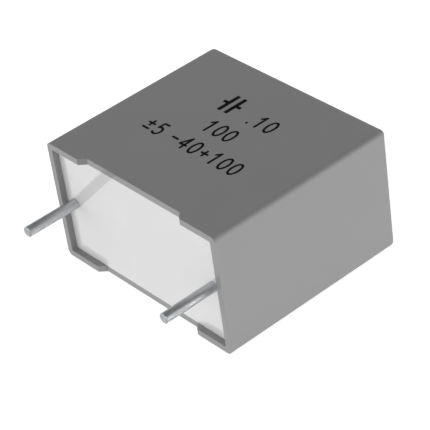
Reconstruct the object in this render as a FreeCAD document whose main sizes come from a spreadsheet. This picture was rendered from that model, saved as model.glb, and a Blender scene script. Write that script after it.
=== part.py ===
import FreeCAD, Part
import Sketcher
import math
import os

# A box film capacitor for through-hole boards, lying on one broad face.
# X runs along the pair of leads, the leads point towards -Y, and +Z is the free broad face.
# The origin is midway between the leads, on the seating plane (y = 0) and on the broad
# face that it lies on (z = 0). All sizes are in millimetres.

SIZES = [
    ("body_length", 18.0, "outside, along the pair of leads"),
    ("body_height", 16.0, "outside, from the seating plane to the closed end"),
    ("body_thickness", 10.0, "outside, from one broad face to the other"),
    ("wall", 0.5, "the four walls of the case"),
    ("closed_wall", 0.5, "the wall of the closed end"),
    ("edge_radius", 0.4, "rounding of the case's outer edges"),
    ("inner_radius", 0.15, "rounding of the case's inner corners"),
    ("foot_length", 3.5, "each foot, from the end of the case to its ramp"),
    ("foot_rise", 0.5, "from the seating plane back to the long rims and the resin between the feet"),
    ("foot_ramp", 0.5, "length of the ramp beside each foot"),
    ("lead_inset", 1.5, "from each end of the case to the axis of the lead near it"),
    ("lead_diameter", 0.8, "tinned wire"),
    ("lead_reach", 4.0, "from the seating plane to the cut tip"),
    ("tip_chamfer", 0.05, "broken edge of the cut tip"),
    ("crank_start", 0.1, "straight wire under the resin's surface, before the crank"),
    ("crank_offset", 0.4, "how far the crank brings the wire inwards"),
    ("crank_radius", 1.6, "bend radius of the crank, to the wire's axis"),
    ("weld_length", 7.5, "wire that lies along the sprayed end"),
    ("weld_depth", 0.15, "how deep the wire is bedded in the sprayed end"),
    ("spray_thickness", 0.45, "sprayed metal on each end of the roll"),
    ("spray_edge", 0.2, "rounding of the sprayed layer's outer edge"),
    ("roll_cover", 2.0, "resin between its surface and the roll"),
    ("roll_gap", 0.5, "resin between the roll and the closed end"),
    ("roll_side_gap", 0.4, "resin between the roll and each broad wall"),
]

# Places and sizes that follow from the driving ones
HALF_LENGTH = "Sizes.body_length / 2"
MID_THICKNESS = "Sizes.body_thickness / 2"
CAVITY_LENGTH = "(Sizes.body_length - 2 * Sizes.wall)"
CAVITY_THICKNESS = "(Sizes.body_thickness - 2 * Sizes.wall)"
CAVITY_FLOOR = "(Sizes.body_height - Sizes.closed_wall)"
LEAD_RADIUS = "Sizes.lead_diameter / 2"
LEAD_AXIS = f"({HALF_LENGTH} - Sizes.lead_inset)"
RESIN_LEVEL = "Sizes.foot_rise"
CRANK_Y = f"({RESIN_LEVEL} + Sizes.crank_start)"
WELD_AXIS = f"({LEAD_AXIS} - Sizes.crank_offset)"
SPRAY_FACE = f"({WELD_AXIS} - {LEAD_RADIUS} + Sizes.weld_depth)"
ROLL_END = f"({SPRAY_FACE} - Sizes.spray_thickness)"
ROLL_RADIUS = f"({MID_THICKNESS} - Sizes.wall - Sizes.roll_side_gap)"
ROLL_NEAR = f"({RESIN_LEVEL} + Sizes.roll_cover)"
ROLL_FAR = f"({CAVITY_FLOOR} - Sizes.roll_gap)"
LEAD_END = f"({ROLL_NEAR} + Sizes.weld_length)"

# The points of a line or arc, the two axes and the origin, as a sketch numbers them
START, END, CENTRE = range(1, 4)
HORIZONTAL_AXIS, VERTICAL_AXIS = range(-1, -3, -1)
ORIGIN = (HORIZONTAL_AXIS, START)

X, Y, Z = range(3)
SAME_PLACE = 1e-6

doc = FreeCAD.newDocument("box_film_capacitor")


def make_sheet():
    """The driving dimensions: a name, a number and what it measures, one row each."""
    sheet = doc.addObject("Spreadsheet::Sheet", "Sizes")
    for row, (name, value, meaning) in enumerate(SIZES, start=1):
        sheet.set(f"A{row}", name)
        sheet.set(f"B{row}", str(value))
        sheet.setAlias(f"B{row}", name)
        sheet.set(f"C{row}", meaning)
    doc.recompute()
    return sheet


sheet = make_sheet()


def value_of(expression):
    """The number that an expression of the driving dimensions gives."""
    return float(sheet.evalExpression(expression.replace("Sizes.", "")))


def new_body(label):
    body = doc.addObject("PartDesign::Body", label)
    body.Label = label
    return body


def new_sketch(body, plane, name, height=None):
    """A sketch on one of the body's own origin planes, lifted along the plane's normal."""
    sketch = body.newObject("Sketcher::SketchObject", name)
    origin_plane = next(f for f in body.Origin.OriginFeatures if f.Role == plane)
    sketch.AttachmentSupport = [(origin_plane, "")]
    sketch.MapMode = "FlatFace"
    if height:
        sketch.setExpression("AttachmentOffset.Base.z", height)
    return sketch


def dimension(sketch, name, kind, points, expression):
    """A named dimension of a sketch, tied to the driving dimensions."""
    index = sketch.addConstraint(Sketcher.Constraint(kind, *points, value_of(expression)))
    sketch.renameConstraint(index, name)
    sketch.setExpression(f"Constraints.{name}", expression)


def draw_line(sketch, start, end):
    line = Part.LineSegment(FreeCAD.Vector(*start, 0), FreeCAD.Vector(*end, 0))
    sketch.addGeometry(line, False)


def circle(centre, radius):
    return Part.Circle(FreeCAD.Vector(*centre, 0), FreeCAD.Vector(0, 0, 1), radius)


def draw_arc(sketch, centre, radius, start_angle, end_angle):
    """An arc that runs anticlockwise from one angle to the other."""
    arc = Part.ArcOfCircle(circle(centre, radius), start_angle, end_angle)
    sketch.addGeometry(arc, False)


def closed_outline(sketch, corners):
    """Straight lines from corner to corner and back to the first one."""
    for index, corner in enumerate(corners):
        draw_line(sketch, corner, corners[(index + 1) % len(corners)])
    for index in range(len(corners)):
        following = (index + 1) % len(corners)
        sketch.addConstraint(Sketcher.Constraint("Coincident", index, END, following, START))


def rectangle(sketch, width, height, base=None):
    """A rectangle centred on the vertical axis, its lower side on the horizontal one or above it."""
    half = value_of(width) / 2
    low = value_of(base) if base else 0.0
    high = low + value_of(height)
    closed_outline(sketch, [(-half, low), (half, low), (half, high), (-half, high)])
    sketch.addConstraint(Sketcher.Constraint("Horizontal", 2))
    for side in (1, 3):
        sketch.addConstraint(Sketcher.Constraint("Vertical", side))
    symmetry = Sketcher.Constraint("Symmetric", 0, START, 0, END, VERTICAL_AXIS)
    sketch.addConstraint(symmetry)
    dimension(sketch, "width", "DistanceX", (0, START, 0, END), width)
    dimension(sketch, "height", "DistanceY", (1, START, 1, END), height)
    if base:
        dimension(sketch, "base", "DistanceY", (*ORIGIN, 0, START), base)
    else:
        sketch.addConstraint(Sketcher.Constraint("PointOnObject", 0, START, HORIZONTAL_AXIS))


def stadium(sketch):
    """The roll's end view: two half circles joined by straight runs, in Y and Z."""
    radius = value_of(ROLL_RADIUS)
    middle = value_of(MID_THICKNESS)
    near_centre = f"({ROLL_NEAR} + {ROLL_RADIUS})"
    far_centre = f"({ROLL_FAR} - {ROLL_RADIUS})"
    near, far = value_of(near_centre), value_of(far_centre)
    low, high = middle - radius, middle + radius
    draw_arc(sketch, (near, middle), radius, math.pi / 2, 3 * math.pi / 2)
    draw_line(sketch, (near, low), (far, low))
    draw_arc(sketch, (far, middle), radius, -math.pi / 2, math.pi / 2)
    draw_line(sketch, (far, high), (near, high))
    for index in range(4):
        following = (index + 1) % 4
        sketch.addConstraint(Sketcher.Constraint("Tangent", index, END, following, START))
    sketch.addConstraint(Sketcher.Constraint("Horizontal", 1))
    sketch.addConstraint(Sketcher.Constraint("Equal", 0, 2))
    dimension(sketch, "radius", "Radius", (0,), ROLL_RADIUS)
    dimension(sketch, "middle", "DistanceY", (*ORIGIN, 0, CENTRE), MID_THICKNESS)
    dimension(sketch, "near_centre", "DistanceX", (*ORIGIN, 0, CENTRE), near_centre)
    dimension(sketch, "far_centre", "DistanceX", (*ORIGIN, 2, CENTRE), far_centre)


def pad(body, sketch, length, reverse=False):
    feature = body.newObject("PartDesign::Pad", "pad")
    feature.Profile = sketch
    feature.Reversed = reverse
    feature.setExpression("Length", length)
    doc.recompute()
    return feature


def edges_where(feature, wanted):
    """The names of the feature's edges that answer to a description."""
    edges = feature.Shape.Edges
    return [f"Edge{number}" for number, edge in enumerate(edges, start=1) if wanted(edge)]


def fillet(body, feature, wanted, radius):
    rounding = body.newObject("PartDesign::Fillet", "rounding")
    rounding.Base = (feature, edges_where(feature, wanted))
    rounding.setExpression("Radius", radius)
    doc.recompute()
    return rounding


def runs_along_y(edge):
    box = edge.BoundBox
    return box.YLength > max(box.XLength, box.ZLength)


def lies_at(edge, axis, *places):
    """Whether an edge keeps to one of these places along X, Y or Z."""
    ends = [vertex.Point[axis] for vertex in edge.Vertexes]
    return any(all(abs(end - place) < SAME_PLACE for end in ends) for place in places)


def make_case():
    """A moulded box, open at the seating plane, with a foot at each corner of its rim."""
    body = new_body("case")
    outline = new_sketch(body, "XZ_Plane", "case_outline")
    rectangle(outline, "Sizes.body_length", "Sizes.body_thickness")
    block = pad(body, outline, "Sizes.body_height", reverse=True)

    # The four long edges and the four of the closed end are rounded alike
    closed_end = value_of("Sizes.body_height")
    rounded = fillet(
        body,
        block,
        lambda edge: runs_along_y(edge) or lies_at(edge, Y, closed_end),
        "Sizes.edge_radius",
    )

    opening = new_sketch(body, "XZ_Plane", "cavity_outline")
    rectangle(opening, CAVITY_LENGTH, CAVITY_THICKNESS, "Sizes.wall")
    cavity = body.newObject("PartDesign::Pocket", "cavity")
    cavity.Profile = opening
    cavity.setExpression("Length", CAVITY_FLOOR)
    doc.recompute()
    check_cut(cavity, rounded)

    # The cavity's corners are rounded along its depth
    side = value_of(f"{HALF_LENGTH} - Sizes.wall")
    low, high = value_of("Sizes.wall"), value_of("Sizes.body_thickness - Sizes.wall")
    hollow = fillet(
        body,
        cavity,
        lambda edge: lies_at(edge, X, side, -side) and lies_at(edge, Z, low, high) and runs_along_y(edge),
        "Sizes.inner_radius",
    )

    # The rims of the two long walls are cut back between the feet, with a ramp beside each foot
    relief = new_sketch(body, "XY_Plane", "rim_relief")
    outer = f"({HALF_LENGTH} - Sizes.foot_length)"
    inner = f"({HALF_LENGTH} - Sizes.foot_length - Sizes.foot_ramp)"
    far, near, rise = value_of(outer), value_of(inner), value_of("Sizes.foot_rise")
    closed_outline(relief, [(-far, 0), (far, 0), (near, rise), (-near, rise)])
    for level in (0, 2):
        symmetry = Sketcher.Constraint("Symmetric", level, START, level, END, VERTICAL_AXIS)
        relief.addConstraint(symmetry)
    relief.addConstraint(Sketcher.Constraint("PointOnObject", 0, START, HORIZONTAL_AXIS))
    dimension(relief, "between_feet", "DistanceX", (0, START, 0, END), f"2 * {outer}")
    dimension(relief, "between_ramps", "DistanceX", (2, END, 2, START), f"2 * {inner}")
    dimension(relief, "rise", "DistanceY", (*ORIGIN, 2, START), "Sizes.foot_rise")
    notch = body.newObject("PartDesign::Pocket", "rim_notch")
    notch.Profile = relief
    notch.Type = "ThroughAll"
    notch.Reversed = True
    doc.recompute()
    check_cut(notch, hollow)
    return body


def make_lead():
    """The right lead: straight through the resin's surface, then cranked onto the sprayed end."""
    body = new_body("lead_right")
    path = new_sketch(body, "XY_Plane", "lead_path", MID_THICKNESS)
    axis, weld_axis = value_of(LEAD_AXIS), value_of(WELD_AXIS)
    tip, crank, end = -value_of("Sizes.lead_reach"), value_of(CRANK_Y), value_of(LEAD_END)
    radius = value_of("Sizes.crank_radius")
    turn = math.acos(1 - (axis - weld_axis) / (2 * radius))
    top = crank + 2 * radius * math.sin(turn)
    draw_line(path, (axis, tip), (axis, crank))
    draw_arc(path, (axis - radius, crank), radius, 0, turn)
    draw_arc(path, (weld_axis + radius, top), radius, math.pi, math.pi + turn)
    draw_line(path, (weld_axis, top), (weld_axis, end))
    path.addConstraint(Sketcher.Constraint("Tangent", 0, END, 1, START))
    path.addConstraint(Sketcher.Constraint("Tangent", 1, END, 2, END))
    path.addConstraint(Sketcher.Constraint("Tangent", 2, START, 3, START))
    path.addConstraint(Sketcher.Constraint("Vertical", 0))
    path.addConstraint(Sketcher.Constraint("Vertical", 3))
    path.addConstraint(Sketcher.Constraint("Equal", 1, 2))
    dimension(path, "axis", "DistanceX", (*ORIGIN, 0, START), LEAD_AXIS)
    dimension(path, "weld_axis", "DistanceX", (*ORIGIN, 3, START), WELD_AXIS)
    dimension(path, "tip", "DistanceY", (0, START, *ORIGIN), "Sizes.lead_reach")
    dimension(path, "crank", "DistanceY", (*ORIGIN, 0, END), CRANK_Y)
    dimension(path, "crank_radius", "Radius", (1,), "Sizes.crank_radius")
    dimension(path, "end", "DistanceY", (*ORIGIN, 3, END), LEAD_END)

    section = new_sketch(body, "XZ_Plane", "lead_section", "Sizes.lead_reach")
    section.addGeometry(circle((axis, value_of(MID_THICKNESS)), value_of(LEAD_RADIUS)), False)
    dimension(section, "across", "DistanceX", (*ORIGIN, 0, CENTRE), LEAD_AXIS)
    dimension(section, "height", "DistanceY", (*ORIGIN, 0, CENTRE), MID_THICKNESS)
    dimension(section, "radius", "Radius", (0,), LEAD_RADIUS)

    wire = body.newObject("PartDesign::AdditivePipe", "wire")
    wire.Profile = section
    wire.Spine = (path, [])
    doc.recompute()

    tip_edge = body.newObject("PartDesign::Chamfer", "tip_edge")
    tip_edge.Base = (wire, edges_where(wire, lambda edge: lies_at(edge, Y, tip)))
    tip_edge.setExpression("Size", "Sizes.tip_chamfer")
    doc.recompute()
    return body


def make_roll():
    """The flattened roll of film: all its turns as one solid."""
    body = new_body("film_roll")
    outline = new_sketch(body, "YZ_Plane", "roll_outline")
    stadium(outline)
    feature = body.newObject("PartDesign::Pad", "winding")
    feature.Profile = outline
    feature.SideType = "Symmetric"
    feature.setExpression("Length", f"2 * {ROLL_END}")
    doc.recompute()
    return body


def make_spray(lead):
    """The right sprayed end: a layer with a rounded edge, and the bed of the lead in its face."""
    body = new_body("spray_layer")
    outline = new_sketch(body, "YZ_Plane", "spray_outline", ROLL_END)
    stadium(outline)
    layer = pad(body, outline, "Sizes.spray_thickness")
    face = value_of(SPRAY_FACE)
    fillet(
        body,
        layer,
        lambda edge: lies_at(edge, X, face),
        "Sizes.spray_edge",
    )
    spray = doc.addObject("Part::Cut", "end_spray_right")
    spray.Base = body
    spray.Tool = lead
    spray.Label = "end_spray_right"
    doc.recompute()
    return spray


def mirrored(source, label):
    """The same piece on the other side of the middle, towards -X."""
    copy = doc.addObject("Part::Mirroring", label)
    copy.Source = source
    copy.Base = (0, 0, 0)
    copy.Normal = (1, 0, 0)
    copy.Label = label
    doc.recompute()
    return copy


def make_resin(sealed):
    """The resin: it fills the case up to its surface, round everything that is sealed in it."""
    body = new_body("resin_fill")
    outline = new_sketch(body, "XZ_Plane", "resin_outline", f"-{RESIN_LEVEL}")
    rectangle(outline, CAVITY_LENGTH, CAVITY_THICKNESS, "Sizes.wall")
    fill = pad(body, outline, f"{CAVITY_FLOOR} - {RESIN_LEVEL}", reverse=True)
    fillet(body, fill, runs_along_y, "Sizes.inner_radius")
    inside = doc.addObject("Part::MultiFuse", "sealed_pieces")
    inside.Shapes = sealed
    resin = doc.addObject("Part::Cut", "potting_resin")
    resin.Base = body
    resin.Tool = inside
    resin.Label = "potting_resin"
    doc.recompute()
    return resin


def check_cut(feature, before):
    if feature.Shape.Volume >= before.Shape.Volume:
        raise RuntimeError(f"{feature.Label} removes nothing")


def check_document():
    for thing in doc.Objects:
        if "Invalid" in thing.State or "Error" in thing.State:
            raise RuntimeError(f"{thing.Label} failed: {thing.State}")


def write_parts(pieces):
    for piece in pieces:
        shape = piece.Shape
        if shape.isNull() or not shape.isValid() or len(shape.Solids) != 1:
            raise RuntimeError(f"{piece.Label} is not one valid solid")
    os.makedirs("parts", exist_ok=True)
    for piece in pieces:
        piece.Shape.exportStep(f"parts/{piece.Label}.step")
        print(piece.Label, round(piece.Shape.Volume, 4), "mm3")


case = make_case()
lead_right = make_lead()
film_roll = make_roll()
end_spray_right = make_spray(lead_right)
lead_left = mirrored(lead_right, "lead_left")
end_spray_left = mirrored(end_spray_right, "end_spray_left")
sealed_pieces = [film_roll, end_spray_left, end_spray_right, lead_left, lead_right]
potting_resin = make_resin(sealed_pieces)
check_document()
write_parts([case, potting_resin] + sealed_pieces)
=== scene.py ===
import math

import bpy
from mathutils import Matrix, Vector
from mathutils.geometry import delaunay_2d_cdt


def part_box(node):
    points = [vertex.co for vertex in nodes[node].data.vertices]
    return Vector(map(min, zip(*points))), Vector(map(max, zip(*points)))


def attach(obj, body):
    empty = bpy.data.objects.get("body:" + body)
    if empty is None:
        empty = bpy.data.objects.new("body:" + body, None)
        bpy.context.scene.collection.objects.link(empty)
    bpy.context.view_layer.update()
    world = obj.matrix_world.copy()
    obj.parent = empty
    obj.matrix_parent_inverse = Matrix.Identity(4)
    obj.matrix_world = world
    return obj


MM = 0.001

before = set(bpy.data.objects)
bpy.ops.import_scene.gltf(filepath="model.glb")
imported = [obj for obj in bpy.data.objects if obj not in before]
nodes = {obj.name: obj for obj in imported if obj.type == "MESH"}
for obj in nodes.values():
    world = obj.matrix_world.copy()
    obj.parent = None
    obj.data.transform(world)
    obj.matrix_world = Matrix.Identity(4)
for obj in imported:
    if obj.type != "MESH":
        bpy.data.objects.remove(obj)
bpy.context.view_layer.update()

# Materials

UNSTRETCHED = (1.0, 1.0, 1.0)
Y_AXIS = 1


class Paint:
    """One procedural material. Its textures are laid out in millimetres of the row frame."""

    def __init__(self, name, colour, roughness, metallic=0.0):
        self.material = bpy.data.materials.new(name)
        self.material.use_nodes = True
        self.tree = self.material.node_tree
        self.shader = self.tree.nodes["Principled BSDF"]
        self.shader.inputs["Base Color"].default_value = (*colour, 1.0)
        self.shader.inputs["Roughness"].default_value = roughness
        self.shader.inputs["Metallic"].default_value = metallic
        self.place = self.node("ShaderNodeTexCoord").outputs["Object"]

    def node(self, kind, **inputs):
        """A new node with the inputs given: from_min=0.3 sets the one called From Min."""
        made = self.tree.nodes.new(kind)
        for name, value in inputs.items():
            self.put(made.inputs[name.replace("_", " ").title()], value)
        return made

    def put(self, socket, value):
        """Sets a socket to a plain value, or links it to another node's output."""
        if isinstance(value, bpy.types.NodeSocket):
            self.tree.links.new(value, socket)
        else:
            socket.default_value = value

    def millimetres(self, stretch=UNSTRETCHED):
        """Row-frame coordinates in millimetres, each axis multiplied by its stretch."""
        scaled = self.tree.nodes.new("ShaderNodeVectorMath")
        scaled.operation = "MULTIPLY"
        self.put(scaled.inputs[0], self.place)
        scaled.inputs[1].default_value = [factor / MM for factor in stretch]
        return scaled.outputs["Vector"]

    def along(self, axis):
        """The row-frame coordinate in millimetres along an axis: 0 is X, 1 is Y and 2 is Z."""
        split = self.node("ShaderNodeSeparateXYZ", vector=self.millimetres())
        return split.outputs[axis]

    def noise(self, per_mm, detail=2.0, rough=0.5, stretch=UNSTRETCHED):
        """Soft mottling from 0 to 1 with so many spots in a millimetre."""
        texture = self.node(
            "ShaderNodeTexNoise",
            vector=self.millimetres(stretch),
            scale=per_mm,
            detail=detail,
            roughness=rough,
        )
        return texture.outputs["Fac"]

    def cells(self, per_mm, stretch=UNSTRETCHED):
        """A random grey for each of many small cells."""
        texture = self.node(
            "ShaderNodeTexVoronoi", vector=self.millimetres(stretch), scale=per_mm
        )
        split = self.node("ShaderNodeSeparateColor", color=texture.outputs["Color"])
        return split.outputs["Red"]

    def spread(self, value, low, high, start=0.3, end=0.7):
        """Maps start to end, by default noise's usual range, onto low to high."""
        mapped = self.node(
            "ShaderNodeMapRange",
            value=value,
            from_min=start,
            from_max=end,
            to_min=low,
            to_max=high,
        )
        return mapped.outputs["Result"]

    def total(self, *values):
        result = values[0]
        for value in values[1:]:
            added = self.tree.nodes.new("ShaderNodeMath")
            added.operation = "ADD"
            self.put(added.inputs[0], result)
            self.put(added.inputs[1], value)
            result = added.outputs["Value"]
        return result

    def blend(self, factor, first, second):
        """The first colour where the factor is 0, turning into the second where it is 1."""
        mixed = self.tree.nodes.new("ShaderNodeMix")
        mixed.data_type = "RGBA"
        self.put(mixed.inputs["Factor"], factor)
        colours = [socket for socket in mixed.inputs if socket.type == "RGBA"]
        for socket, colour in zip(colours, (first, second)):
            is_link = isinstance(colour, bpy.types.NodeSocket)
            self.put(socket, colour if is_link else (*colour, 1.0))
        return next(socket for socket in mixed.outputs if socket.type == "RGBA")

    def bump(self, *layers):
        """Relief in layers of (height from 0 to 1, depth in millimetres)."""
        normal = None
        for height, depth in layers:
            relief = self.node("ShaderNodeBump", height=height, distance=depth * MM)
            if normal is not None:
                self.put(relief.inputs["Normal"], normal)
            normal = relief.outputs["Normal"]
        self.put(self.shader.inputs["Normal"], normal)

    def colour_from(self, value):
        self.put(self.shader.inputs["Base Color"], value)

    def roughness_from(self, value):
        self.put(self.shader.inputs["Roughness"], value)


def grey(level):
    return (level, level, level)


def moulded_plastic():
    """Matt grey thermoplastic from a finely spark-eroded mould."""
    paint = Paint("case_plastic_moulded", grey(0.31), 0.55)
    clouds = paint.noise(per_mm=0.22, detail=2.0)
    pigment = paint.noise(per_mm=7.0, detail=3.0, rough=0.6)
    erosion = paint.noise(per_mm=11.0, detail=2.0, rough=0.65)
    swell = paint.noise(per_mm=0.35, detail=1.0)
    tone = paint.total(
        paint.spread(clouds, low=0.0, high=0.6),
        paint.spread(pigment, low=0.0, high=0.4),
    )
    paint.colour_from(paint.blend(tone, grey(0.302), grey(0.318)))
    both = paint.total(clouds, pigment)
    paint.roughness_from(paint.spread(both, low=0.5, high=0.62, start=0.7, end=1.3))
    paint.bump((swell, 0.01), (erosion, 0.0025))
    return paint.material


def poured_resin():
    """Near-white filled resin that has set level, with a soft sheen."""
    paint = Paint("resin_poured", (0.725, 0.726, 0.725), 0.5)
    clouds = paint.noise(per_mm=0.3, detail=3.0)
    filler = paint.noise(per_mm=5.0, detail=3.0, rough=0.6)
    swell = paint.noise(per_mm=0.45, detail=1.0)
    tone = paint.total(
        paint.spread(clouds, low=0.0, high=0.65),
        paint.spread(filler, low=0.0, high=0.35),
    )
    paint.colour_from(paint.blend(tone, (0.712, 0.713, 0.712), (0.738, 0.738, 0.738)))
    paint.roughness_from(paint.spread(filler, low=0.46, high=0.56))
    paint.bump((swell, 0.02), (filler, 0.002))
    return paint.material


# How far the painted highlight on a cut tip reaches up the wire, in millimetres: a paler colour
# that stands for the tip's bright reflection
TIP_HIGHLIGHT_DEPTH = 0.02


def tinned_wire():
    """Drawn copper wire with a semi-bright tin coat, mottled, with draw marks, and a painted
    highlight on the cut tips: their end faces are painted paler to stand for their bright
    reflection.
    """
    paint = Paint("tinned_wire_drawn", (0.525, 0.54, 0.555), 0.36, metallic=0.9)
    draw_marks = paint.noise(per_mm=9.0, detail=3.0, stretch=(1.0, 0.04, 1.0))
    mottle = paint.noise(per_mm=2.2, detail=3.0, rough=0.6)
    crystals = paint.cells(per_mm=3.5, stretch=(1.0, 0.6, 1.0))
    patches = paint.spread(mottle, low=0.0, high=1.0)
    coat = paint.blend(patches, (0.49, 0.507, 0.522), (0.56, 0.579, 0.596))
    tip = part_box("lead_left")[0].y / MM
    # Painted highlight: the cut tip's end face is painted in a paler metal to stand for the bright
    # reflection there
    painted_tip_highlight = paint.spread(paint.along(Y_AXIS), low=1.0, high=0.0, start=tip, end=tip + TIP_HIGHLIGHT_DEPTH)
    paint.colour_from(paint.blend(painted_tip_highlight, coat, (0.64, 0.66, 0.675)))
    paint.roughness_from(
        paint.total(
            paint.spread(crystals, low=0.0, high=0.07, start=0.0, end=1.0),
            paint.spread(mottle, low=0.3, high=0.42),
        )
    )
    paint.bump((mottle, 0.002), (draw_marks, 0.0012))
    return paint.material


def metallised_film():
    """The roll's outer turns: satin film with faint lines where turns end beneath it."""
    paint = Paint("film_metallised", (0.62, 0.63, 0.66), 0.28, metallic=0.4)
    lines = paint.noise(per_mm=3.0, detail=2.0, stretch=(1.0, 0.05, 0.05))
    ripple = paint.noise(per_mm=0.8, detail=2.0, stretch=(0.3, 1.0, 1.0))
    tone = paint.spread(lines, low=0.0, high=1.0)
    paint.colour_from(paint.blend(tone, (0.56, 0.57, 0.6), (0.66, 0.67, 0.7)))
    paint.roughness_from(paint.spread(ripple, low=0.22, high=0.36))
    paint.bump((ripple, 0.02), (lines, 0.003))
    return paint.material


def sprayed_zinc():
    """Flame-sprayed metal: matt, granular and slightly blotchy."""
    paint = Paint("sprayed_metal_zinc", grey(0.5), 0.7, metallic=0.85)
    grains = paint.noise(per_mm=6.0, detail=4.0, rough=0.7)
    splashes = paint.cells(per_mm=5.0)
    blotches = paint.noise(per_mm=0.7, detail=2.0)
    tone = paint.spread(blotches, low=0.0, high=1.0)
    paint.colour_from(paint.blend(tone, grey(0.45), grey(0.54)))
    paint.roughness_from(paint.spread(grains, low=0.6, high=0.82))
    paint.bump((splashes, 0.012), (grains, 0.02))
    return paint.material


def marking_ink():
    """Black ink, slightly uneven in coverage."""
    paint = Paint("marking_ink_black", grey(0.005), 0.6)
    paint.shader.inputs["Specular IOR Level"].default_value = 0.05
    coverage = paint.noise(per_mm=4.0, detail=3.0, rough=0.6)
    tone = paint.spread(coverage, low=0.0, high=1.0)
    paint.colour_from(paint.blend(tone, grey(0.003), grey(0.008)))
    paint.roughness_from(paint.spread(coverage, low=0.55, high=0.7))
    paint.bump((coverage, 0.001))
    return paint.material


FINISHES = {
    "case": moulded_plastic(),
    "potting_resin": poured_resin(),
    "film_roll": metallised_film(),
}
FINISHES["lead_left"] = FINISHES["lead_right"] = tinned_wire()
FINISHES["end_spray_left"] = FINISHES["end_spray_right"] = sprayed_zinc()
for node_name, material in FINISHES.items():
    for holder in nodes[node_name].material_slots:
        holder.material = material

# Printed figures, in millimetres of the row frame

# How far the ink stands above the plastic and reaches into it
INK_HEIGHT = 0.002
INK_ROOT = 0.004

STROKE = 0.2
GLYPH_WIDTH = 0.83
GLYPH_HEIGHT = 1.52
GLYPH_PITCH = 1.035

# The print's baselines, from the closed end towards the leads
FIRST_LINE, SECOND_LINE, THIRD_LINE = 10.42, 7.92, 5.42

# Each run of figures, where its ink starts along X, and its baseline
FIGURES = (
    (".10", 0.0, FIRST_LINE),
    ("100", -1.5, SECOND_LINE),
    ("±5", -5.13, THIRD_LINE),
    ("-40+100", -2.37, THIRD_LINE),
)

SYMBOL_LEFT = -2.8
SYMBOL_WIDTH = 1.8
SYMBOL_HEIGHT = 2.1
PLATE, PLATE_GAP, PLATE_WIRE = 0.34, 0.36, 0.3

CAP_SIDES = 16
CURVE_STEPS = 14

# For the triangulation: outline points nearer than this are one, and only what is inside counts
SAME_POINT = 1e-5
INSIDE_ONLY = 1


def arc(centre, radii, start, end, steps=CURVE_STEPS):
    """Points of an elliptical arc, in glyph units, from one angle to another in degrees."""
    turns = [math.radians(start + (end - start) * step / steps) for step in range(steps + 1)]
    return [
        (centre[0] + radii[0] * math.cos(turn), centre[1] + radii[1] * math.sin(turn))
        for turn in turns
    ]


# Each glyph is a list of pen strokes in a cell 1 wide and 1 high
GLYPHS = {
    "0": [arc((0.5, 0.5), (0.5, 0.5), 0, 360, 2 * CURVE_STEPS)],
    "1": [[(0.52, 0.0), (0.52, 1.0)], [(0.52, 1.0), (0.1, 0.76)]],
    "4": [[(0.7, 0.0), (0.7, 1.0), (0.0, 0.3), (1.0, 0.3)]],
    "5": [[(0.9, 1.0), (0.19, 1.0)] + arc((0.46, 0.32), (0.52, 0.32), 130, -135)],
    ".": [[(0.86, 0.0), (0.86, 0.02)]],
    "+": [[(0.05, 0.46), (0.95, 0.46)], [(0.5, 0.24), (0.5, 0.68)]],
    "-": [[(0.08, 0.46), (0.92, 0.46)]],
    "±": [
        [(0.05, 0.62), (0.95, 0.62)],
        [(0.5, 0.4), (0.5, 0.84)],
        [(0.05, 0.12), (0.95, 0.12)],
    ],
}


def disc(centre, radius):
    turns = [2 * math.pi * side / CAP_SIDES for side in range(CAP_SIDES)]
    return [centre + radius * Vector((math.cos(turn), math.sin(turn))) for turn in turns]


def bar(start, end, width):
    """A rectangle of the pen's width along one run of a stroke."""
    along = (end - start).normalized()
    side = Vector((-along.y, along.x)) * width / 2
    return [start - side, end - side, end + side, start + side]


def pen_stroke(points, width):
    """The outlines that a round pen covers along the points: a disc at each and a bar between."""
    outlines = [disc(point, width / 2) for point in points]
    for start, end in zip(points, points[1:]):
        outlines.append(bar(start, end, width))
    return outlines


def line_of_figures(text, left, baseline):
    """Outlines of a line of glyphs whose ink starts at left and stands on the baseline."""
    outlines = []
    for index, glyph in enumerate(text):
        corner = Vector((left + index * GLYPH_PITCH + STROKE / 2, baseline + STROKE / 2))
        for stroke in GLYPHS[glyph]:
            points = [
                corner + Vector((u * (GLYPH_WIDTH - STROKE), v * (GLYPH_HEIGHT - STROKE)))
                for u, v in stroke
            ]
            outlines += pen_stroke(points, STROKE)
    return outlines


def two_plate_symbol(left, base, width, height):
    """Two heavy plates face to face, each with a short wire: the part's sign in a circuit."""
    middle = Vector((left + width / 2, base + height / 2))
    outlines = []
    for side in (-1, 1):
        plate_x = middle.x + side * (PLATE_GAP + PLATE) / 2
        ends = [Vector((plate_x, base)), Vector((plate_x, base + height))]
        outlines.append(bar(*ends, PLATE))
        wire_ends = [Vector((plate_x, middle.y)), middle + Vector((side * width / 2, 0.0))]
        outlines.append(bar(*wire_ends, PLATE_WIRE))
    return outlines


def merged(outlines):
    """The area that overlapping outlines cover together, as points and triangles."""
    points = [point for outline in outlines for point in outline]
    faces = []
    first = 0
    for outline in outlines:
        faces.append(list(range(first, first + len(outline))))
        first += len(outline)
    # Also given back, and not needed: the edges, and the inputs of the points and edges
    vertices, _, triangles, _, _, sources = delaunay_2d_cdt(
        points, [], faces, INSIDE_ONLY, SAME_POINT
    )
    return vertices, [face for face, source in zip(triangles, sources) if source]


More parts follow.
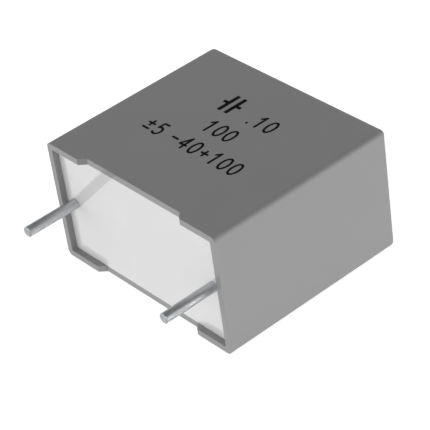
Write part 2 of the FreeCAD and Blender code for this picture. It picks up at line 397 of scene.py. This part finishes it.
def ink_film(name, outlines, face_z, material):
    """A closed film of ink on the free broad face, from just under it to just above it."""
    flat, triangles = merged(outlines)
    used = sorted({corner for face in triangles for corner in face})
    number = {corner: index for index, corner in enumerate(used)}
    levels = (face_z - INK_ROOT, face_z + INK_HEIGHT)
    vertices = [(flat[c].x * MM, flat[c].y * MM, z * MM) for z in levels for c in used]
    above = len(used)
    faces = []
    # A side that two triangles share runs one way in each, so only the rim's sides stay here
    open_sides = set()
    for face in triangles:
        corners = [number[corner] for corner in face]
        faces.append([corner + above for corner in corners])
        faces.append(list(reversed(corners)))
        for start, end in zip(corners, corners[1:] + corners[:1]):
            if (end, start) in open_sides:
                open_sides.remove((end, start))
            else:
                open_sides.add((start, end))
    for start, end in sorted(open_sides):
        faces.append([start, end, end + above, start + above])
    mesh = bpy.data.meshes.new(name)
    mesh.from_pydata(vertices, [], faces)
    mesh.materials.append(material)
    piece = bpy.data.objects.new(name, mesh)
    bpy.context.scene.collection.objects.link(piece)
    return piece


def print_on_case():
    face_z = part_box("case")[1].z / MM
    ink = marking_ink()
    symbol = two_plate_symbol(SYMBOL_LEFT, FIRST_LINE, SYMBOL_WIDTH, SYMBOL_HEIGHT)
    figures = []
    for text, left, baseline in FIGURES:
        figures += line_of_figures(text, left, baseline)
    for name, outlines in (("printed_symbol", symbol), ("printed_figures", figures)):
        piece = ink_film(name, outlines, face_z, ink)
        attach(piece, "root")


print_on_case()

# Floor and light

FLOOR_REACH = 3.0
FLOOR_GAP = 0.02 * MM
FLOOR_GREY = 0.8

# What the floor adds to the light on it, for the camera's rays alone, to look white
FLOOR_GLOW = 0.73

# The studio's walls and ceiling, and between which rises (sines) one turns into the other
WALL_LEVEL = 0.95
CEILING_LEVEL = 0.2
WALL_TOP = 0.12
CEILING_EDGE = 0.6


def make_floor():
    """A plain pale floor, white to the eye, that takes the part's shadow."""
    material = bpy.data.materials.new("floor_pale")
    material.use_nodes = True
    tree = material.node_tree
    tree.nodes.clear()
    matt = tree.nodes.new("ShaderNodeBsdfDiffuse")
    matt.inputs["Color"].default_value = (*grey(FLOOR_GREY), 1.0)
    glow = tree.nodes.new("ShaderNodeEmission")
    glow.inputs["Strength"].default_value = FLOOR_GLOW
    nothing = tree.nodes.new("ShaderNodeEmission")
    nothing.inputs["Strength"].default_value = 0.0
    path = tree.nodes.new("ShaderNodeLightPath")
    chosen = tree.nodes.new("ShaderNodeMixShader")
    tree.links.new(path.outputs["Is Camera Ray"], chosen.inputs["Fac"])
    tree.links.new(nothing.outputs["Emission"], chosen.inputs[1])
    tree.links.new(glow.outputs["Emission"], chosen.inputs[2])
    both = tree.nodes.new("ShaderNodeAddShader")
    tree.links.new(matt.outputs["BSDF"], both.inputs[0])
    tree.links.new(chosen.outputs["Shader"], both.inputs[1])
    output = tree.nodes.new("ShaderNodeOutputMaterial")
    tree.links.new(both.outputs["Shader"], output.inputs["Surface"])

    reach = FLOOR_REACH
    corners = [(-reach, -reach), (reach, -reach), (reach, reach), (-reach, reach)]
    mesh = bpy.data.meshes.new("floor")
    mesh.from_pydata([(x, y, -FLOOR_GAP) for x, y in corners], [], [(0, 1, 2, 3)])
    mesh.materials.append(material)
    floor = bpy.data.objects.new("floor", mesh)
    bpy.context.scene.collection.objects.link(floor)
    # The low lamp that draws the lead's shadow on the resin shines up past the floor
    floor.visible_shadow = False


def make_world():
    """A studio with bright walls and a dimmer ceiling."""
    world = bpy.data.worlds.new("studio")
    bpy.context.scene.world = world
    world.use_nodes = True
    tree = world.node_tree
    background = tree.nodes["Background"]
    place = tree.nodes.new("ShaderNodeTexCoord")
    split = tree.nodes.new("ShaderNodeSeparateXYZ")
    tree.links.new(place.outputs["Generated"], split.inputs["Vector"])
    rise = tree.nodes.new("ShaderNodeMapRange")
    rise.interpolation_type = "SMOOTHSTEP"
    rise.inputs["From Min"].default_value = WALL_TOP
    rise.inputs["From Max"].default_value = CEILING_EDGE
    rise.inputs["To Min"].default_value = WALL_LEVEL
    rise.inputs["To Max"].default_value = CEILING_LEVEL
    tree.links.new(split.outputs["Z"], rise.inputs["Value"])
    tree.links.new(rise.outputs["Result"], background.inputs["Strength"])
    background.inputs["Color"].default_value = (1.0, 1.0, 1.0, 1.0)


AIM = Vector((0.0, 6.0, 5.0)) * MM
LAMP_DISTANCE = 0.5

# The way to the low lamp, which draws the left lead's shadow across the resin
LOW_LEFT = Vector((-1.34, -1.0, -1.31))


def towards(azimuth, elevation):
    """The direction of a lamp from the part: azimuth 0 is in front (-Y), 90 on the right (+X)."""
    turn, rise = math.radians(azimuth), math.radians(elevation)
    return Vector(
        (math.sin(turn) * math.cos(rise), -math.cos(turn) * math.cos(rise), math.sin(rise))
    )


def place_lamp(name, data, direction):
    lamp = bpy.data.objects.new(name, data)
    lamp.location = AIM + direction * LAMP_DISTANCE
    lamp.rotation_euler = direction.to_track_quat("Z", "Y").to_euler()
    bpy.context.scene.collection.objects.link(lamp)
    return lamp


def softbox(name, azimuth, elevation, size, level):
    """A square lamp. A small one gives a white face turned to it its level, a wide one less."""
    data = bpy.data.lights.new(name, "AREA")
    data.size = size
    data.energy = level * math.pi * math.pi * LAMP_DISTANCE**2
    # Its light is reckoned by rays to the lamp alone, which the floor lets through
    data.cycles.use_multiple_importance_sampling = False
    return place_lamp(name, data, towards(azimuth, elevation))


def sun(name, direction, angle, level):
    """A far lamp, angle degrees wide, that gives a white face turned to it its level."""
    data = bpy.data.lights.new(name, "SUN")
    data.angle = math.radians(angle)
    data.energy = level * math.pi
    return place_lamp(name, data, direction.normalized())


make_floor()
make_world()

# The key lights the right end from a little behind, clear of the open side and the inner walls
key = softbox("key", azimuth=104, elevation=-34, size=0.15, level=0.52)
key.visible_glossy = False

# The reflector is only seen mirrored in the wires and the plastic's sheen
reflector = softbox("reflector", azimuth=125, elevation=-30, size=0.8, level=0.72)
reflector.visible_diffuse = False

softbox("front", azimuth=-15, elevation=4, size=0.8, level=0.66)

behind = softbox("behind", azimuth=180, elevation=50, size=0.4, level=0.188)
behind.visible_glossy = False

low_left = sun("low_left", LOW_LEFT, angle=1.5, level=0.46)
low_left.visible_glossy = False

# Camera, at the place from which the photograph sees the part

SENSOR_WIDTH = 36.0
IMAGE_PIXELS = 430
FOCAL_PIXELS = 2016.26
NEAREST, FARTHEST = 0.01, 20.0
CAMERA_PLACE = Vector((93.824, -62.665, 88.036)) * MM
CAMERA_RIGHT = Vector((0.66012, 0.74131, -0.12126))
CAMERA_UP = Vector((-0.37534, 0.46535, 0.80161))
CAMERA_BACK = Vector((0.65067, -0.48364, 0.58543))


def make_camera():
    data = bpy.data.cameras.new("camera")
    data.sensor_width = SENSOR_WIDTH
    data.lens = SENSOR_WIDTH * FOCAL_PIXELS / IMAGE_PIXELS
    data.clip_start = NEAREST
    data.clip_end = FARTHEST
    camera = bpy.data.objects.new("camera", data)
    turn = Matrix((CAMERA_RIGHT, CAMERA_UP, CAMERA_BACK)).transposed()
    camera.matrix_world = Matrix.Translation(CAMERA_PLACE) @ turn.to_4x4()
    bpy.context.scene.collection.objects.link(camera)
    bpy.context.scene.camera = camera


make_camera()
bpy.context.scene.view_settings.view_transform = "Standard"
